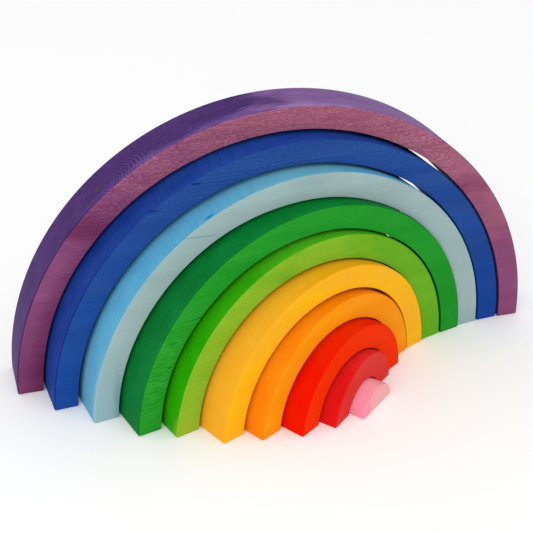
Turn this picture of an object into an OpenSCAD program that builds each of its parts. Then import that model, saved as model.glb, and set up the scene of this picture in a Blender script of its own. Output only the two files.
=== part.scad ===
// Rainbow stacker: arches and a half-round core sawn from one board, stood on their soles and fanned open.
// X runs along the widest arch, Y from its front face to its back face, and Z is up from the floor.

/* [Board] */
// outer radius of the widest arch
outer_r = 170; // [140:1:220]
// thickness of the board, which is the depth of every piece
depth = 32; // [26:1:36]
// gap that sawing and sanding leave between neighbouring pieces
saw_gap = 1.7; // [1.5:0.1:2.5]
// height of the soles above the common centre of the arcs
base_trim = 3; // [1:0.5:5]

/* [Edges] */
// rounding where the flat board faces meet the sawn faces
edge_r = 1.2; // [0.5:0.1:2]
// rounding of the edges round each sole
sole_r = 0.8; // [0.4:0.1:1.5]

/* [Fan] */
// angle from each arch to the next wider one, from the second arch inward
fan_angles = [4.3, 4.2, 5.1, 3.4, 6.4, 4.8, 4.6, 5.8];
// step of each piece in front of the next wider one, from the second arch to the core, as shares of the depth
step_shares = [0, 0.025, 0.06, 0.01, 0.05, 0.04, 0.2, 0.11, 0.3];

/* [Hidden] */
$fn = 96;
// pieces from the widest arch to the core, which share the radius out evenly
pieces = 10;
// number of the core, counted from the widest arch
core = pieces - 1;
// angle of a half ring
half_turn = 180;
// room left between neighbours while an arch swings
swing_clear = 0.35;
// overrun of a cut past the face that it opens
over = 1;
pitch = outer_r / pieces;
wall = pitch - saw_gap;
// room for sideways movement of a swinging arch
room = saw_gap - swing_clear;

// outer radius of a piece
function radius(i) = outer_r - i * pitch;
// half the width of an arc where the soles cut it
function half_width(r) = sqrt(r * r - base_trim * base_trim);
// distance of the swing axis from the middle of an arch, at mid wall of its right leg
function axis_x(i) = radius(i) - wall / 2;
// step of a piece in front of the wider one
function step_y(i) = step_shares[i - 1] * depth;
// half the depth over which a piece faces the wider one while both stand parallel
function facing(i) = (depth - step_y(i)) / 2;
// half the distance from the swing axis to the left side of an arch
function span(i) = (radius(i) + axis_x(i)) / 2;
// widest angle at which the right toe and the left heel can both clear the wider arch
function fan_limit(i) =
    atan2(facing(i), span(i)) - acos(min(1, (room + span(i)) / norm([facing(i), span(i)])));
// angle from a piece to the wider one, which is nothing for the core
function fan(i) = i == core ? 0 : min(fan_angles[i - 1], fan_limit(i));
// distance of the swing axis behind the front face, which leaves the right toe and the left heel equal room
function axis_y(i) = step_y(i) + facing(i) - span(i) * tan(fan(i) / 2);
// turn of a direction on the floor
function turned(p, a) = [p[0] * cos(a) - p[1] * sin(a), p[0] * sin(a) + p[1] * cos(a)];
// angle from a piece to the widest arch
function heading(i) = i == 0 ? 0 : heading(i - 1) + fan(i);
// place of a piece on the floor as its wider neighbour has it
function offset_in(i) =
    i == core
        ? [0, -step_y(i)]
        : [axis_x(i), axis_y(i) - step_y(i)] - turned([axis_x(i), axis_y(i)], fan(i));
// place of a piece on the floor
function place(i) = i == 0 ? [0, 0] : place(i - 1) + turned(offset_in(i), heading(i - 1));
// front of a piece at its left toe
function toe_y(i) =
    place(i)[1] + turned([edge_r - half_width(radius(i)), edge_r], heading(i))[1] - edge_r;
// place of the widest arch that puts the origin under the middle of the fan
back_shift = -(depth + min([for (i = [0 : core]) toe_y(i)])) / 2;

// section of a bar with rounded corners, from one radius to another
module bar_section(r_in, r_out) {
    translate([r_in + edge_r, 0]) square([r_out - r_in - 2 * edge_r, depth]);
    translate([r_in, edge_r]) square([r_out - r_in, depth - 2 * edge_r]);
    for (r = [r_in + edge_r, r_out - edge_r]) {
        for (y = [edge_r, depth - edge_r]) {
            translate([r, y]) circle(r = edge_r);
        }
    }
}

// section of the core from its centre line out, with the outer corners rounded
module core_section(r_out) {
    square([r_out - edge_r, depth]);
    translate([0, edge_r]) square([r_out, depth - 2 * edge_r]);
    for (y = [edge_r, depth - edge_r]) {
        translate([r_out - edge_r, y]) circle(r = edge_r);
    }
}

// stands a section up as a half ring with its centre below the floor
module half_ring() {
    translate([0, depth, -base_trim]) rotate([90, 0, 0]) rotate_extrude(angle = half_turn) children();
}

// all that lies below the floor
module floor_cut() {
    translate([-outer_r, -over, -outer_r]) cube([2 * outer_r, depth + 2 * over, outer_r]);
}

// section taken off to round a lower corner at x = 0, with the wood on its left
module corner_cut() {
    difference() {
        translate([-sole_r, -over]) square([sole_r + over, sole_r + over]);
        translate([-sole_r, sole_r]) circle(r = sole_r);
    }
}

// rounding of a sole edge that runs from front to back, with the wood on its left
module side_edge_cut(x) {
    translate([x, depth + over, 0]) rotate([90, 0, 0]) linear_extrude(depth + 2 * over) corner_cut();
}

// rounding of the back edges of the soles
module back_edge_cut() {
    translate([-outer_r, depth, 0]) rotate([90, 0, 90]) linear_extrude(2 * outer_r) corner_cut();
}

// rounding of the front and back edges of the soles
module long_edge_cuts() {
    back_edge_cut();
    translate([0, depth, 0]) mirror([0, 1, 0]) back_edge_cut();
}

// an arch at the middle of its own front face
module arch(i) {
    outer_x = half_width(radius(i));
    inner_x = half_width(radius(i) - wall);
    difference() {
        half_ring() bar_section(radius(i) - wall, radius(i));
        floor_cut();
        long_edge_cuts();
        side_edge_cut(outer_x);
        mirror([1, 0, 0]) side_edge_cut(outer_x);
        mirror([1, 0, 0]) side_edge_cut(-inner_x);
        side_edge_cut(-inner_x);
    }
}

// the half-round core at the middle of its own front face
module core_block() {
    outer_x = half_width(radius(core));
    difference() {
        half_ring() core_section(radius(core));
        floor_cut();
        long_edge_cuts();
        side_edge_cut(outer_x);
        mirror([1, 0, 0]) side_edge_cut(outer_x);
    }
}

// moves a piece to its place in the fan
module fanned(i) {
    at = place(i);
    translate([at[0], at[1] + back_shift, 0]) rotate([0, 0, heading(i)]) children();
}

// the widest arch, which stands still
module purple_arch() color("#7a4478") fanned(0) arch(0);

// the second arch
module blue_arch() color("#22499a") fanned(1) arch(1);

// the third arch
module sky_arch() color("#8ab2c2") fanned(2) arch(2);

// the fourth arch
module green_arch() color("#22912c") fanned(3) arch(3);

// the fifth arch
module lime_arch() color("#70ab22") fanned(4) arch(4);

// the sixth arch
module yellow_arch() color("#f8b528") fanned(5) arch(5);

// the seventh arch
module orange_arch() color("#f88a0c") fanned(6) arch(6);

// the eighth arch
module red_arch() color("#f02c08") fanned(7) arch(7);

// the ninth and smallest arch
module crimson_arch() color("#da2e2a") fanned(8) arch(8);

// the half-round block in the smallest arch
module pink_core() color("#f4a2aa") fanned(core) core_block();

purple_arch();
blue_arch();
sky_arch();
green_arch();
lime_arch();
yellow_arch();
orange_arch();
red_arch();
crimson_arch();
pink_core();
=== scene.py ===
"""Rainbow stacker: stained wooden arches and a half-round core, fanned open on a pale floor."""

import functools
import math
import random
from types import SimpleNamespace

import bpy
import numpy as np
from mathutils import Matrix, Vector


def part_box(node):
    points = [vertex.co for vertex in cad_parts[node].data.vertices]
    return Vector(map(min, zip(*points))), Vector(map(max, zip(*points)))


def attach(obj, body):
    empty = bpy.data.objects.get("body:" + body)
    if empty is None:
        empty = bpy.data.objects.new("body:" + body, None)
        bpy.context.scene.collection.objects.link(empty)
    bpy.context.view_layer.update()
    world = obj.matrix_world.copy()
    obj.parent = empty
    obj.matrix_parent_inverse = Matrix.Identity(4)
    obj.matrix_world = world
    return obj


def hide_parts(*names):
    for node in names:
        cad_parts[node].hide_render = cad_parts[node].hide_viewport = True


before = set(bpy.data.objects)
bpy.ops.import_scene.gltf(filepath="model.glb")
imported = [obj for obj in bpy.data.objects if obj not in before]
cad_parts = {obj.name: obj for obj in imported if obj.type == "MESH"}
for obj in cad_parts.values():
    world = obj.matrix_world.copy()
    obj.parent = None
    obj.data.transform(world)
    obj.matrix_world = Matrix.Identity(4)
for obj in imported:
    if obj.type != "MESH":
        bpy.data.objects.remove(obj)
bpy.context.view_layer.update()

MM = 0.001

# Sizes of the set, as in the CAD source. TRIM is the height of the soles above the arcs' centre.
OUTER_R = 170 * MM
DEPTH = 32 * MM
SAW_GAP = 1.7 * MM
TRIM = 3 * MM
EDGE_R = 1.2 * MM
SOLE_R = 0.8 * MM
PIECES = 10
PITCH = OUTER_R / PIECES
WALL = PITCH - SAW_GAP
NAMES = ["purple", "blue", "sky", "green", "lime", "yellow", "orange", "red", "crimson", "pink"]

# Turn of each arch from the one round it, in degrees, and step forward as a share of the depth
FAN = [4.3, 4.2, 5.1, 3.4, 6.4, 4.8, 4.6, 5.8]
STEP = [0, 0.025, 0.06, 0.01, 0.05, 0.04, 0.2, 0.11, 0.3]

# How unevenly the pieces are sawn and sanded by hand: how far, and in which waves round an arch
WOBBLE = 0.12 * MM
FACE_WAVES = (2, 3.3, 5.1, 8.7)
EDGE_WAVES = (3, 5.7, 11.3, 19.1)
WAVE_FADE = 0.4

# Rounding of each arch's outer front corner and how far it varies, as shares of the CAD rounding
SOFT = [1.0, 0.75, 0.7, 0.65, 0.6, 0.95, 1.1, 1.15, 0.8]
CRISPEST = 0.8
SOFTEST = 1.35

# Rounding of the sharp inner lip, of the corners at the back and of the core
LIP_R = 0.25 * MM
BACK_R = 0.65 * MM
CORE_EDGE_R = 0.9 * EDGE_R

# The least rounding where a section is drawn in towards a sole or a face
LEAST_R = 0.2 * MM
CORE_LEAST_R = 0.3 * MM

# How far each inner face is sanded back, in mm, at even steps from its right foot to its left foot.
# Where it is below zero the wall is thicker than the drawing.
THIN = [
    (0.2, -0.2, -0.1, 0.6, 0.6, 0.2, -0.2),
    (0.2, -0.1, -0.3, 0.6, 1.3, 1.1, 1.0),
    (0.0, -0.4, -1.1, -0.3, 0.7, 0.4, 0.2),
    (0.2, 0.4, -0.4, 0.5, 1.4, 1.2, 0.9),
    (0.0, -0.4, 1.3, 0.3),
    (0.0, 0.3, 0.5, 0.6, 0.9, 0.8, 0.8),
    (0.0, -0.5, 1.1, 0.6),
    (0.0, -0.5, 1.1, 0.1),
    (-0.2, -0.9, -0.3, 0.0),
]

# How much further than its back the front of an inner face is sanded, in mm, where the saw leaned
UPRIGHT = (0.0, 0.0)
LEAN = [
    (0.0, 0.6, 1.2, 0.8, 0.0, 0.0, 0.0),
    (0.0, 0.3, 0.8, 0.4, 0.0, 0.0, 0.0),
    (0.0, 0.0, -0.3, -0.3, 0.0, 0.0, 0.0),
] + [UPRIGHT] * 6

# How finely the meshes are divided: round an arch, round a corner, and along the flats between
RING_STEP = 2.4 * MM
LEAST_RINGS = 24
ROUND_STEPS = 5
WALL_STEPS = 7
DEPTH_STEPS = 12
CORE_ARC_STEPS = 40
CORE_SOLE_STEPS = 10
CORE_EDGE_STEPS = 6
CORE_DEPTH_STEPS = 14


def radius(i):
    """Outer radius of a piece, counted from the widest arch."""
    return OUTER_R - i * PITCH


def placements():
    """The place and heading of each piece in the row frame, from the widest arch to the core."""
    found = [Matrix.Identity(4)]
    for i in range(1, PIECES):
        step = STEP[i - 1] * DEPTH
        if i == PIECES - 1:
            move = Matrix.Translation((0, -step, 0))
        else:
            x = radius(i) - WALL / 2
            turn = math.radians(FAN[i - 1])
            y = (DEPTH + step - (radius(i) + x) * math.tan(turn / 2)) / 2
            move = (
                Matrix.Translation((x, y - step, 0))
                @ Matrix.Rotation(turn, 4, "Z")
                @ Matrix.Translation((-x, -y, 0))
            )
        found.append(found[-1] @ move)
    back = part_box("purple_arch")[1].y - DEPTH
    return [Matrix.Translation((0, back, 0)) @ m for m in found]


# Meshes


def wander(seed, low, high, waves=FACE_WAVES):
    """A smooth uneven function of the angle round an arch, between low and high."""
    rng = random.Random(seed)
    terms = [
        (wave, rng.uniform(0, 2 * math.pi), 1 / (1 + WAVE_FADE * n)) for n, wave in enumerate(waves)
    ]
    total = sum(size for _, _, size in terms)
    return lambda a: low + (high - low) * (
        0.5 + 0.5 * sum(size * np.sin(wave * a + phase) for wave, phase, size in terms) / total
    )


def eased(values, a):
    """Eases between values that are spread evenly over the half turn of an arch."""
    t = a / math.pi * (len(values) - 1)
    k = min(int(t), len(values) - 2)
    f = t - k
    return values[k] + (values[k + 1] - values[k]) * f * f * (3 - 2 * f)


def corner(cx, cy, e, start):
    """Points on a quarter round, from its first flat to its second."""
    for k in range(ROUND_STEPS + 1):
        a = start + math.pi / 2 * k / ROUND_STEPS
        yield cx + e * math.cos(a), cy + e * math.sin(a)


def flat(a, b, steps):
    """Points between two corners, without the ends and closer together near them."""
    for k in range(1, steps):
        t = 0.5 - 0.5 * math.cos(math.pi * k / steps)
        yield a[0] + (b[0] - a[0]) * t, a[1] + (b[1] - a[1]) * t


def bar_section(r_in, lean, r_out, y_front, y_back, front_r, inset=0.0):
    """Closed section of an arch as (radius, depth), softest at its outer front corner."""
    lo_front, lo_back, hi_r = r_in + lean / 2 + inset, r_in - lean / 2 + inset, r_out - inset
    lo_y, hi_y = y_front + inset, y_back - inset
    lip, e, back = (max(r - inset, LEAST_R) for r in (LIP_R, front_r, BACK_R))
    rounds = [
        list(corner(lo_front + lip, lo_y + lip, lip, math.pi)),
        list(corner(hi_r - e, lo_y + e, e, 1.5 * math.pi)),
        list(corner(hi_r - back, hi_y - back, back, 0.0)),
        list(corner(lo_back + back, hi_y - back, back, 0.5 * math.pi)),
    ]
    points = []
    for n, turn in enumerate(rounds):
        steps = WALL_STEPS if n % 2 == 0 else DEPTH_STEPS
        points += turn
        points += list(flat(turn[-1], rounds[(n + 1) % 4][0], steps))
    return np.array(points)


def arch_rings(i):
    """Loops of points round an arch, from its right sole to its left one."""
    r_out, r_in = radius(i), radius(i) - WALL
    seed = 10 * i
    outer = wander(seed + 1, 0, WOBBLE)
    inner = wander(seed + 2, 0, WOBBLE)
    front = wander(seed + 3, 0, WOBBLE)
    edge = wander(seed + 4, CRISPEST * SOFT[i] * EDGE_R, SOFTEST * SOFT[i] * EDGE_R, EDGE_WAVES)

    def section(a, inset=0.0):
        sawn_r = r_in + inner(a) + eased(THIN[i], a) * MM
        lean = eased(LEAN[i], a) * MM
        y_front, y_back = front(a), DEPTH - front(a + 1)
        return bar_section(sawn_r, lean, r_out - outer(a), y_front, y_back, edge(a), inset)

    def foot(side, k):
        turn = math.pi / 2 * k / ROUND_STEPS
        height = SOLE_R * (1 - math.cos(turn))
        rho, y = section(0.0 if side > 0 else math.pi, SOLE_R * (1 - math.sin(turn))).T
        x = side * np.sqrt(rho**2 - (TRIM + height) ** 2)
        return np.column_stack([x, y, np.full_like(x, height)])

    rings = [foot(1, k) for k in range(ROUND_STEPS)]
    count = max(LEAST_RINGS, round(math.pi * r_out / RING_STEP))
    for k in range(count + 1):
        s = k / count
        rho, y = section(math.pi * s).T
        start = np.arcsin((TRIM + SOLE_R) / rho)
        a = start + s * (math.pi - 2 * start)
        rings.append(np.column_stack([rho * np.cos(a), y, rho * np.sin(a) - TRIM]))
    rings += [foot(-1, k) for k in reversed(range(ROUND_STEPS))]
    return rings


def core_outline(inset, y):
    """Closed outline of the core at one depth, drawn in from its full size."""
    r = radius(PIECES - 1) - inset
    soft = max(SOLE_R - inset / 2, CORE_LEAST_R)
    tip = math.asin((TRIM + inset + soft) / (r - soft))
    centre = Vector(((r - soft) * math.cos(tip), (r - soft) * math.sin(tip)))
    points = []
    for k in range(ROUND_STEPS + 1):
        a = -math.pi / 2 + (math.pi / 2 + tip) * k / ROUND_STEPS
        points.append((centre.x + soft * math.cos(a), centre.y + soft * math.sin(a)))
    for k in range(1, CORE_ARC_STEPS):
        a = tip + (math.pi - 2 * tip) * k / CORE_ARC_STEPS
        points.append((r * math.cos(a), r * math.sin(a)))
    points += [(-x, z) for x, z in points[ROUND_STEPS::-1]]
    points += list(flat(points[-1], points[0], CORE_SOLE_STEPS))
    return np.array([(x, y, z - TRIM) for x, z in points])


def core_rings():
    """Loops of points round the core, from its front face to its back face."""
    e = CORE_EDGE_R
    turns = [math.pi / 2 * k / CORE_EDGE_STEPS for k in range(CORE_EDGE_STEPS + 1)]
    front = [core_outline(e * (1 - math.sin(t)), e * (1 - math.cos(t))) for t in turns]
    depths = [e + (DEPTH - 2 * e) * k / CORE_DEPTH_STEPS for k in range(1, CORE_DEPTH_STEPS)]
    middle = [core_outline(0.0, y) for y in depths]
    back = [ring * (1, -1, 1) + (0, DEPTH, 0) for ring in reversed(front)]
    return front + middle + back


def skin(name, rings):
    """A closed mesh over loops of points, with flat ends."""
    n = len(rings[0])
    verts = np.concatenate(rings)
    faces = [list(range(n)), list(range(len(verts) - 1, len(verts) - 1 - n, -1))]
    for k in range(len(rings) - 1):
        a, b = k * n, (k + 1) * n
        faces += [[a + (j + 1) % n, a + j, b + j, b + (j + 1) % n] for j in range(n)]
    mesh = bpy.data.meshes.new(name)
    mesh.from_pydata(verts.tolist(), [], faces)
    mesh.validate()
    volume = sum(
        mesh.vertices[p.vertices[0]].co.dot(
            mesh.vertices[p.vertices[j]].co.cross(mesh.vertices[p.vertices[j + 1]].co)
        )
        for p in mesh.polygons
        for j in range(1, len(p.vertices) - 1)
    )
    if volume < 0:
        mesh.flip_normals()
    mesh.shade_smooth()
    piece = bpy.data.objects.new(name, mesh)
    bpy.context.scene.collection.objects.link(piece)
    normals = piece.modifiers.new("flat_faces_stay_flat", "WEIGHTED_NORMAL")
    normals.weight = 100
    normals.keep_sharp = False
    return piece


# Materials

# Settings that many nodes share
SMOOTH = {"interpolation_type": "SMOOTHSTEP"}
PLUS = {"operation": "ADD"}
MINUS = {"operation": "SUBTRACT"}
TIMES = {"operation": "MULTIPLY"}
TIMES_PLUS = {"operation": "MULTIPLY_ADD"}
FADE = (1.0, 0.0)

# Cells of the patterns in the wood, in mm along the fibres and across them.
# Fibre bundles and vessel lines are drawn coarser than real ones, which are too fine to show.
BAND_CELL = (240, 11)
CLOUD_CELL = (34, 17)
FIBRE_CELL = (16, 1.0)
VESSEL_CELL = (2.4, 0.5)
PATCH_CELL = (45, 20)
TEAR_CELL = (8, 1.1)

# Octaves of plain and of fine patterns, and the way in mm from one piece's wood to the next one's
PLAIN_DETAIL = 2.0
FINE_DETAIL = 3.0
NEXT_PIECE = (97, 53, 71)

# Lines of the sanding belt, drawn a millimetre wide to show, change this much less along themselves
BELT_STRETCH = 0.06

# How far the clouds move the borders of blots, growth rings and wear, in mm, and of the crown
BLOT_WANDER = 2.0
RING_WANDER = 3.0
WORN_WANDER = 14.0
CROWN_WANDER = 0.6

# Turn of a face to the front or back where board faces begin, and where edges begin and end
BOARD_TURN = (0.5, 0.92)
EDGE_BEGINS = (0.12, 0.5)
EDGE_ENDS = (0.8, 0.98)

# Where the legs begin, as shares of the radius, and how much of the fibres the right ones show
RIGHT_LEG = (0.5, 0.8)
LEFT_LEG = (-0.95, -0.7)
RIGHT_LEG_SHOWS = 0.45

# Places in mm between which the stain changes: on edges, where it is worn, and where the painted
# shade on the left leg's inner side lies
EDGE_HEIGHT = (50, 120)
WORN_DEPTH = (2, 10)
WORN_HEIGHT = (100, 160)
SHADE_INWARD = (4, 15)
SHADE_HEIGHT = (60, 110)
SHADE_SIDE = (-60, 20)
RINGS_ABOVE_PITH = (0.0, 12.0)

# Spans of uneven values over which a change of the stain is eased
PATCH_SPAN = (-0.06, 0.14)
TEAR_SPAN = (-0.12, 0.12)
VESSEL_SPAN = (-0.1, 0.18)
UPTAKE_SPAN = (-0.25, 0.25)
CROWN_SPAN = (-0.1, 0.2)
BLOT_SPAN = (0.3, 1.0)

# Means of the growth rings and vessel lines, taken off so that the stain stays as deep overall
RING_MEAN = 0.33
VESSEL_MEAN = 0.4


def linear(code):
    """A colour written as sRGB hex, in linear light."""
    parts = [int(code[k : k + 2], 16) / 255 for k in (1, 3, 5)]
    return [c / 12.92 if c <= 0.04045 else ((c + 0.055) / 1.055) ** 2.4 for c in parts] + [1.0]


def add_node(tree, kind, *values, inputs=(), **settings):
    """Adds a node with its settings, sets or links its inputs, and gives its first output."""
    node = tree.nodes.new("ShaderNode" + kind)
    for key, value in settings.items():
        setattr(node, key, value)
    in_order = zip([s for s in node.inputs if s.enabled], values)
    by_name = [(node.inputs[key], value) for key, value in dict(inputs).items()]
    for socket, value in [*in_order, *by_name]:
        if isinstance(value, bpy.types.NodeSocket):
            tree.links.new(value, socket)
        else:
            socket.default_value = value
    return next((s for s in node.outputs if s.enabled), None)


def new_tree(name):
    """An empty material, with its node tree."""
    material = bpy.data.materials.new(name)
    material.use_nodes = True
    material.node_tree.nodes.clear()
    return material, material.node_tree


def blot(tree, at, uneven, centre, half, tilt=0.0):
    """1 inside a soft ellipsoid and 0 outside it, in millimetres. tilt is its rise along x."""
    add = functools.partial(add_node, tree)
    off = add("VectorMath", at, centre, **MINUS)
    x = add("SeparateXYZ", off)
    lift = add("Math", x, -tilt, uneven, **TIMES_PLUS)
    off = add("VectorMath", off, add("CombineXYZ", 0.0, 0.0, lift), **PLUS)
    away = add("VectorMath", add("VectorMath", off, half, operation="DIVIDE"), operation="LENGTH")
    return add("MapRange", away, *BLOT_SPAN, *FADE, **SMOOTH)


def wood_places(tree, look):
    """Where a point lies on its piece: in mm, and as a share of board face, sawn face or edge."""
    add = functools.partial(add_node, tree)
    coords = add("TexCoord").node.outputs
    at = add("VectorMath", coords["Object"], (1 / MM, 1 / MM, 1 / MM), **TIMES)
    x, y, z = add("SeparateXYZ", at).node.outputs
    nx, ny, _ = add("SeparateXYZ", coords["Normal"]).node.outputs
    facing = add("Math", ny, operation="ABSOLUTE")
    board = add("MapRange", facing, *BOARD_TURN, **SMOOTH)
    sawn = add("Math", 1.0, board, **MINUS)
    past_sawn = add("MapRange", facing, *EDGE_BEGINS, **SMOOTH)
    off_board = add("MapRange", facing, *EDGE_ENDS, *FADE, **SMOOTH)
    edge = add("Math", past_sawn, off_board, **TIMES)

    # Distance in from the outer face, and the edges that lie on the inside of the arch
    from_middle = add("VectorMath", at, (0, 0, TRIM / MM), **PLUS)
    from_middle = add("VectorMath", from_middle, (1, 0, 1), **TIMES)
    rho = add("VectorMath", from_middle, operation="LENGTH")
    inward = add("Math", look["radius_mm"], rho, **MINUS)
    outward = add("VectorMath", from_middle, coords["Normal"], operation="DOT_PRODUCT")
    lip = add("Math", edge, add("Math", outward, 0.0, operation="LESS_THAN"), **TIMES)
    return SimpleNamespace(
        at=at, x=x, y=y, z=z, nx=nx, board=board, sawn=sawn, edge=edge, lip=lip, inward=inward
    )


def wood_grain(tree, look, place, seed):
    """Patterns of the wood and of its sanding, most of them around zero."""
    add = functools.partial(add_node, tree)
    wood = add("VectorMath", place.at, [seed * way for way in NEXT_PIECE], **PLUS)

    def figure(cell, detail=PLAIN_DETAIL):
        """Noise around zero, in cells of so many millimetres along and across the fibres."""
        along, across = cell
        cells = add("VectorMath", wood, (along, across, across), operation="DIVIDE")
        return add("Math", add("TexNoise", cells, 1.0, detail, 0.5), 0.5, **MINUS)

    # Broad bands, clouds and patches of stain
    band = figure(BAND_CELL)
    cloud = figure(CLOUD_CELL, FINE_DETAIL)
    patch = add("MapRange", figure(PATCH_CELL), *PATCH_SPAN, **SMOOTH)
    uneven = add("Math", cloud, BLOT_WANDER, **TIMES)

    # Fibres and vessel lines, which show less on the right legs and on some left ones
    right, left = ([share * look["radius_mm"] for share in leg] for leg in (RIGHT_LEG, LEFT_LEG))
    lively = add("MapRange", place.x, *right, 1.0, RIGHT_LEG_SHOWS, **SMOOTH)
    calm = add("MapRange", place.x, *left, look["left_leg"], 1.0, **SMOOTH)
    fibre = add("Math", figure(FIBRE_CELL, FINE_DETAIL), lively, **TIMES)
    fibre = add("Math", fibre, calm, **TIMES)
    vessel = figure(VESSEL_CELL, FINE_DETAIL)

    # Grain torn by the plane on the board faces
    tear = add("MapRange", figure(TEAR_CELL), *TEAR_SPAN, -0.5, 0.5, **SMOOTH)
    torn = add("Math", tear, place.board, **TIMES)
    torn = add("Math", torn, blot(tree, place.at, uneven, *look["torn_zone"]), **TIMES)

    # Growth rings about the pith, a line along x, each with its late wood at its outer side
    pith_y, pith_z, ring = look["pith"]
    from_y = add("Math", place.y, pith_y, **MINUS)
    from_z = add("Math", add("Math", cloud, RING_WANDER, place.z, **TIMES_PLUS), pith_z, **MINUS)
    away = add("VectorMath", add("CombineXYZ", from_y, from_z, 0.0), operation="LENGTH")
    turns = add("Math", away, 1 / ring, band, **TIMES_PLUS)
    late = add("Math", add("Math", turns, operation="FRACT"), 2.0, operation="POWER")
    late = add("Math", late, RING_MEAN, **MINUS)
    late = add("Math", late, add("MapRange", from_z, *RINGS_ABOVE_PITH, **SMOOTH), **TIMES)
    late = add("Math", late, blot(tree, place.at, uneven, *look["ring_zone"]), **TIMES)

    # Fine lines that the sanding belt leaves from front to back on the sawn faces
    height = add("Math", place.z, TRIM / MM, **PLUS)
    angle = add("Math", height, place.x, operation="ARCTAN2")
    round_arch = add("Math", angle, look["radius_mm"], **TIMES)
    belt = add("CombineXYZ", round_arch, add("Math", place.y, BELT_STRETCH, **TIMES), 0.0)
    belt = add("Math", add("TexNoise", belt, 1.0, PLAIN_DETAIL, 0.5), 0.5, **MINUS)
    belt = add("Math", belt, place.sawn, **TIMES)

    # Turn of a sawn face to the left of the crown, unevenly
    leftward = add("Math", look["crown"][0], place.nx, **MINUS)
    leftward = add("Math", cloud, CROWN_WANDER, leftward, **TIMES_PLUS)
    return SimpleNamespace(
        band=band, cloud=cloud, patch=patch, uneven=uneven, lively=lively, fibre=fibre,
        vessel=vessel, torn=torn, late=late, belt=belt, leftward=leftward,
    )


def stain_colour(tree, look, place, grain):
    """Colour of the stain on the sawn faces and on the board faces, where it is evenly thick, with
    a painted sheen on the purple's crown.
    """
    add = functools.partial(add_node, tree)
    # Sawn faces are pale on the long grain of the crown and deep on the end grain of the legs. On
    # the purple the pale crown, set to the right and slow to deepen there, is also a painted sheen.
    _, pale_to, deep_from, right_pace = look["crown"]
    rightward = add("Math", grain.leftward, -right_pace, **TIMES)
    off_crown = add("Math", grain.leftward, rightward, operation="MAXIMUM")
    thirst_and_sheen = add("MapRange", off_crown, pale_to, deep_from, **SMOOTH)
    sawn = add("Mix", thirst_and_sheen, linear(look["side"]), linear(look["end"]), data_type="RGBA")
    slope = add("VectorMath", place.at, look["lean"], operation="DOT_PRODUCT")
    uptake = add("Math", add("Math", slope, look["start"], **PLUS), grain.cloud, **PLUS)
    uptake = add("MapRange", uptake, *UPTAKE_SPAN, **SMOOTH)
    board = add("Mix", uptake, linear(look["face"]), linear(look["deep"]), data_type="RGBA")
    return add("Mix", place.board, sawn, board, data_type="RGBA")


def stain_thickness(tree, look, place, grain):
    """Thickness of the stain, as a power of its colour: deeper above 1 and paler below it, with
    painted shade and highlight laid in.
    """
    add = functools.partial(add_node, tree)

    # Short vessel lines on the board faces, paler than the stain between them
    dash = add("MapRange", grain.vessel, *VESSEL_SPAN, **SMOOTH)
    dash = add("Math", VESSEL_MEAN, dash, **MINUS)
    patchy = add("Math", grain.patch, 0.3, 0.7, **TIMES_PLUS)
    high = add("MapRange", place.z, *look["dash_from"], **SMOOTH)
    for share in (patchy, high, place.board, grain.lively):
        dash = add("Math", dash, share, **TIMES)

    # Growth rings, of their own strength on the sawn faces and on the board faces
    rings = add("Math", place.sawn, look["rings"] - look["hatch"], look["hatch"], **TIMES_PLUS)
    rings = add("Math", grain.late, rings, **TIMES)
    broken = add("Math", grain.patch, 0.5, 0.5, **TIMES_PLUS)

    # Wear along the front of the crown
    worn = add("Math", grain.cloud, WORN_WANDER, place.y, **TIMES_PLUS)
    worn = add("MapRange", worn, *WORN_DEPTH, *FADE, **SMOOTH)
    high = add("MapRange", place.z, *WORN_HEIGHT, **SMOOTH)
    left = add("MapRange", grain.leftward, *CROWN_SPAN, **SMOOTH)
    for share in (place.sawn, high, left):
        worn = add("Math", worn, share, **TIMES)

    # Painted shade on the board faces of the left leg, deeper towards the inner edge, low down and
    # on the left
    inner_shade = add("MapRange", place.inward, *SHADE_INWARD, **SMOOTH)
    low = add("MapRange", place.z, *SHADE_HEIGHT, *FADE, **SMOOTH)
    left = add("MapRange", place.x, *SHADE_SIDE, *FADE, **SMOOTH)
    for share in (low, left, place.board):
        inner_shade = add("Math", inner_shade, share, **TIMES)

    # Deeper stain on the edges, from low to high: partly a darker stain line, partly painted shade
    # that takes back the light the rounded edges catch
    edge_stain_and_shade = add("MapRange", place.z, *EDGE_HEIGHT, *look["edge"], **SMOOTH)
    marks = [
        (blot(tree, place.at, grain.uneven, centre, half, tilt), strength)
        for centre, half, tilt, strength in look["marks"]
    ]
    thick = 1.0
    for pattern, strength in [
        (grain.band, look["band"]),
        (grain.fibre, look["fibre"]),
        (dash, look["dash"]),
        (grain.torn, look["torn"]),
        # A paler inner lip is a painted highlight
        (place.lip, look["lip"]),
        (rings, broken),
        (grain.belt, look["belt"]),
        (place.edge, edge_stain_and_shade),
        (worn, look["worn"]),
        (inner_shade, look["inner_shade"]),
        *marks,
    ]:
        thick = add("Math", pattern, strength, thick, **TIMES_PLUS)
    return thick


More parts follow.
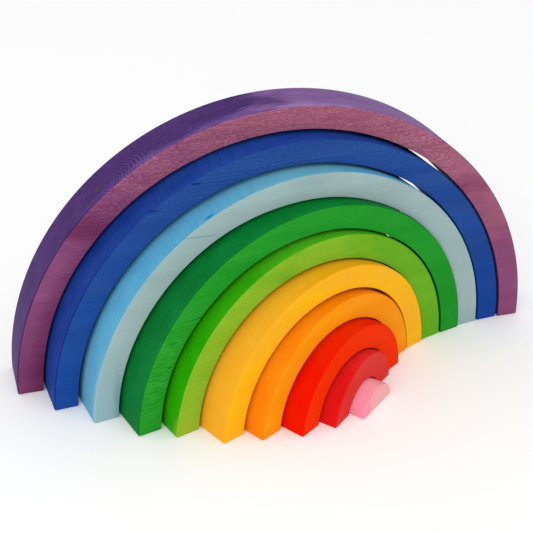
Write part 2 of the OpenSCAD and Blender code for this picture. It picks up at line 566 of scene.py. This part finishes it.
def stained_wood(name, look, seed):
    """Limewood, sawn, sanded and dipped in water stain, with its fibres along x.

    To the eye it is matt and nearly even. The stain is paler on the planed board faces, where short
    light vessel lines show, and deeper on the sawn faces, most of all on the end grain of the legs.
    """
    material, tree = new_tree(name)
    add = functools.partial(add_node, tree)
    place = wood_places(tree, look)
    grain = wood_grain(tree, look, place, seed)
    thick = stain_thickness(tree, look, place, grain)
    colour = add("Gamma", stain_colour(tree, look, place, grain), thick)
    for centre, half, spot in look["spots"]:
        inside = blot(tree, place.at, grain.uneven, centre, half)
        colour = add("Mix", inside, colour, linear(spot), data_type="RGBA")

    relief = 0.0
    for pattern, height in [
        (grain.belt, 0.2),
        (grain.fibre, 0.8),
        (grain.late, -0.3),
        (grain.torn, -4 * look["torn"]),
    ]:
        relief = add("Math", pattern, height, relief, **TIMES_PLUS)
    shader = add(
        "BsdfPrincipled",
        inputs={
            "Base Color": colour,
            "Roughness": add("Math", grain.fibre, 0.2, 0.58, **TIMES_PLUS),
            "IOR": 1.45,
            "Specular IOR Level": look["shine"],
            "Sheen Weight": look["sheen"],
            "Sheen Roughness": 0.35,
            "Normal": add(
                "Bump", inputs={"Strength": 0.3, "Distance": 0.06 * MM, "Height": relief}
            ),
        },
    )
    add("OutputMaterial", shader)
    return material


# Stain of each piece, with painted shade, sheen and highlight in some entries. Places and sizes are
# in mm, strengths are shares of the stain's thickness.
# face, deep: colours of the board faces where little and much stain went in
# side, end: colours of the sawn faces, on long grain and on end grain
# lean, start: the slope of the stain over the board faces, to the millimetre, and its start
# crown: middle of the pale long grain, where it ends, where end grain begins, and pace to the
# right; on the purple the middle set right and the slow pace to the right also paint a sheen
# band, fibre, dash, torn, belt: strengths of bands, fibres, vessel lines, torn grain, belt lines
# left_leg, dash_from: share of the fibres on the left leg, and heights where vessel lines begin
# rings, hatch: strength of the growth rings on sawn faces and on board faces
# pith: its depth and height, and the width of a ring
# edge, lip, worn, inner_shade: strengths low and high on edges, partly painted shade; on the inner
# lip, a painted highlight; of wear; and of painted shade inward on the left leg
# marks: centre, half size, rise along x and strength
# spots: centre, half size and colour
EVERYWHERE = ((0, 0, 0), (900, 900, 900))
PLAIN = dict(
    lean=(0, 0, 0), start=0.0, crown=(0, 0, 0.8, 1), shine=0.05, sheen=0.0,
    band=0.28, fibre=0.18, left_leg=1.0, dash=0.1, dash_from=(-50, -40), belt=0.03,
    rings=0.08, hatch=0.04, pith=(17, -25, 2.3), ring_zone=EVERYWHERE,
    torn=0.0, torn_zone=EVERYWHERE, edge=(0.1, 0.1), lip=0.0, worn=0.0, inner_shade=0.0,
    marks=(), spots=(),
)
LOOKS = {
    "purple": dict(
        PLAIN, face="#9b5b71", deep="#854870", side="#7f5995", end="#472969",
        # The pale crown, set to the right and slow to deepen there, is pale long grain with a
        # painted sheen on it
        lean=(-0.002, 0, -0.006), start=0.7, crown=(0.2, 0.15, 0.35, 0.4), sheen=0.02,
        band=0.25, fibre=0.55, left_leg=0.45, dash=0.4, dash_from=(92, 122),
        rings=0.42, hatch=0.1, pith=(8, 118, 1.3), ring_zone=((-104, 13, 130), (52, 40, 46)),
        # Deeper edges here are partly painted shade, and the deepening inward on the left leg is
        # painted shade
        edge=(0.3, 0.0), worn=-0.28, inner_shade=0.2,
        marks=(
            ((-122, -4, 106), (30, 8, 13), 0, 0.35),
            ((122, -4, 104), (30, 8, 10), 0, 0.15),
            ((-160, -4, 10), (22, 14, 44), 0, 0.14),
            ((-141, -4, 78), (28, 12, 34), 0, -0.06),
        ),
        spots=(((-113, 12, 124), (4.5, 2.2, 4.5), "#523c2c"),),
    ),
    "blue": dict(
        PLAIN, face="#264a8e", deep="#1c4b99", side="#21479e", end="#1c3d8f",
        lean=(0, 0, -0.004), start=0.3,
        fibre=0.12, dash=0.13, dash_from=(100, 130), hatch=0.08, edge=(0.35, 0.12),
        marks=(
            ((-89, 0, 120), (5, 3, 0.9), 0, 0.3),
            ((-64, 0, 133), (4, 3, 0.9), 0, 0.35),
            ((140, -4, 30), (50, 14, 100), 0, 0.1),
            ((-108, 20, 105), (50, 20, 50), 0, 0.06),
        ),
    ),
    "sky": dict(
        PLAIN, face="#a2babc", deep="#98b0b0", side="#6ab2cb", end="#5caacf",
        lean=(0.002, 0, 0), crown=(0, 0.05, 0.45, 1), belt=0.02, edge=(0.25, 0.2),
        marks=(
            ((-69, 0, 107.6), (17, 3, 0.9), -0.06, 0.3),
            ((-40, 0, 125.5), (9, 3, 0.6), 0, 0.15),
        ),
        spots=(
            ((-62, 2.0, 118), (5, 1.6, 3), "#1a84cc"),
            ((-130, -4, 0), (24, 12, 62), "#98b8c2"),
            ((-120, -3, 8), (5.5, 8, 34), "#7aa4b2"),
            ((-134, 20, 15), (16, 22, 50), "#66a8c8"),
        ),
    ),
    "green": dict(
        PLAIN, face="#279729", deep="#1e9228", side="#027a2f", end="#0a7332",
        lean=(0.003, 0, 0), hatch=0.08, torn=0.16, torn_zone=((-106, 0, 40), (26, 12, 52)),
        marks=(
            ((-79.5, 0, 67.8), (3.5, 2, 0.45), 0, 0.9),
            ((-84, 0, 67.2), (5, 2, 0.4), 0, 0.35),
            ((-95, 0, 55.8), (4, 2, 0.4), 0, 0.6),
            ((-100, 0, 55.2), (7, 2, 0.4), 0, 0.3),
            ((-98, 0, 40.6), (1.8, 2, 0.5), 0, 0.7),
            ((-105.5, 0, 37.6), (6, 2, 0.4), 0, 0.35),
            ((106, -4, 20), (36, 14, 70), 0, 0.04),
            ((-84, 20, 80), (45, 20, 45), 0, 0.06),
        ),
    ),
    "lime": dict(
        PLAIN, face="#87b72b", deep="#65aa20", side="#4cb01a", end="#2ba203",
        lean=(0.0035, 0, 0), hatch=0.08, torn=0.08, torn_zone=((-92, 0, 38), (24, 12, 40)),
        # Its paler inner lip is a painted highlight
        lip=-0.3, spots=(((-95, -4, 2), (16, 12, 18), "#98b92e"),),
    ),
    "yellow": dict(
        PLAIN, face="#fcba08", deep="#f5b328", side="#f6ac16", end="#f6ab28",
        hatch=0.1, torn=0.09, torn_zone=((-78, 0, 40), (22, 12, 36)), edge=(0.08, 0.08),
    ),
    "orange": dict(
        PLAIN, face="#fc9a06", deep="#f89612", side="#f08806", end="#f6880c",
        edge=(0.12, 0.1),
    ),
    "red": dict(
        PLAIN, face="#f83202", deep="#f23404", side="#ea2e02", end="#e81700",
        shine=0.02, belt=0.07, rings=0.12,
    ),
    "crimson": dict(
        PLAIN, face="#e4342e", deep="#e03630", side="#e22927", end="#dc1817",
        belt=0.1, marks=(((-24, 0, 24), (16, 8, 16), 0, 0.07),),
    ),
    "pink": dict(
        PLAIN, face="#fcb0b4", deep="#fab2b2", side="#fdabb5", end="#f694ad",
        spots=(((-13, 0, 7), (6, 3.5, 11), "#f898ae"),),
    ),
}

for i, (name, place) in enumerate(zip(NAMES, placements())):
    node = "pink_core" if name == "pink" else name + "_arch"
    piece = skin(node + "_wood", core_rings() if name == "pink" else arch_rings(i))
    piece.matrix_world = place
    look = dict(LOOKS[name], radius_mm=radius(i) / MM)
    piece.data.materials.append(stained_wood(name + "_stained_wood", look, i + 1))
    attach(piece, name)
    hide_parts(node)


# Floor and light

# Half the width of the paper in metres, its glow to the eye, and its grain in cells to the metre
FLOOR_HALF = 3.0
PAPER_GLOW = 0.08
PAPER_GRAIN = 900.0
WORLD_STRENGTH = 0.85


def white_paper():
    """Matt white paper, which glows a little to the eye so that the sweep behind is white."""
    material, tree = new_tree("white_paper_sweep")
    add = functools.partial(add_node, tree)
    grain = add("TexNoise", add("TexCoord").node.outputs["Object"], PAPER_GRAIN, PLAIN_DETAIL)
    value = add("Math", grain, 0.01, 0.98, **TIMES_PLUS)
    matt = add("BsdfDiffuse", add("CombineXYZ", value, value, value))
    ray = add("LightPath").node.outputs
    seen = add("Math", ray["Is Camera Ray"], ray["Is Glossy Ray"], **PLUS)
    seen = add("Math", seen, ray["Is Transmission Ray"], **PLUS)
    glow = add("Emission", (1, 1, 1, 1), add("Math", seen, PAPER_GLOW, **TIMES))
    add("OutputMaterial", add("AddShader", matt, glow))
    return material


mesh = bpy.data.meshes.new("floor")
corners = [(-FLOOR_HALF, -FLOOR_HALF), (FLOOR_HALF, -FLOOR_HALF)]
corners += [(-x, -y) for x, y in corners]
mesh.from_pydata([(x, y, 0) for x, y in corners], [], [(0, 1, 2, 3)])
mesh.materials.append(white_paper())
floor = bpy.data.objects.new("floor", mesh)
bpy.context.scene.collection.objects.link(floor)


def softbox(name, at, size, power, target):
    """A square lamp that faces the object."""
    data = bpy.data.lights.new(name, "AREA")
    data.size = size
    data.energy = power
    light = bpy.data.objects.new(name, data)
    light.location = at
    light.rotation_euler = (Vector(target) - Vector(at)).to_track_quat("-Z", "Y").to_euler()
    bpy.context.scene.collection.objects.link(light)


softbox("key_softbox", at=(-0.95, -1.43, 0.95), size=1.1, power=10.5, target=(0, 0, 0.05))
world = bpy.data.worlds.new("studio")
world.use_nodes = True
world.node_tree.nodes["Background"].inputs["Color"].default_value = (1, 1, 1, 1)
world.node_tree.nodes["Background"].inputs["Strength"].default_value = WORLD_STRENGTH
bpy.context.scene.world = world

# Camera, matched to the photograph: its place and aim in metres, and its roll, sensor and lens
EYE = Vector((-0.2000, -0.5101, 0.3788))
AIM = Vector((-0.0148, 0.0261, 0.0658))
ROLL = math.radians(1.54)
SENSOR_MM = 36
LENS_MM = 71.51

ahead = (AIM - EYE).normalized()
right = ahead.cross(Vector((0, 0, 1))).normalized()
up = right.cross(ahead)
rolled_right = right * math.cos(ROLL) + up * math.sin(ROLL)
rolled_up = up * math.cos(ROLL) - right * math.sin(ROLL)
heading = Matrix((rolled_right, rolled_up, -ahead)).transposed().to_4x4()
data = bpy.data.cameras.new("camera")
data.sensor_width = SENSOR_MM
data.lens = LENS_MM
camera = bpy.data.objects.new("camera", data)
camera.matrix_world = Matrix.Translation(EYE) @ heading
bpy.context.scene.collection.objects.link(camera)
bpy.context.scene.camera = camera
bpy.context.scene.view_settings.view_transform = "Standard"
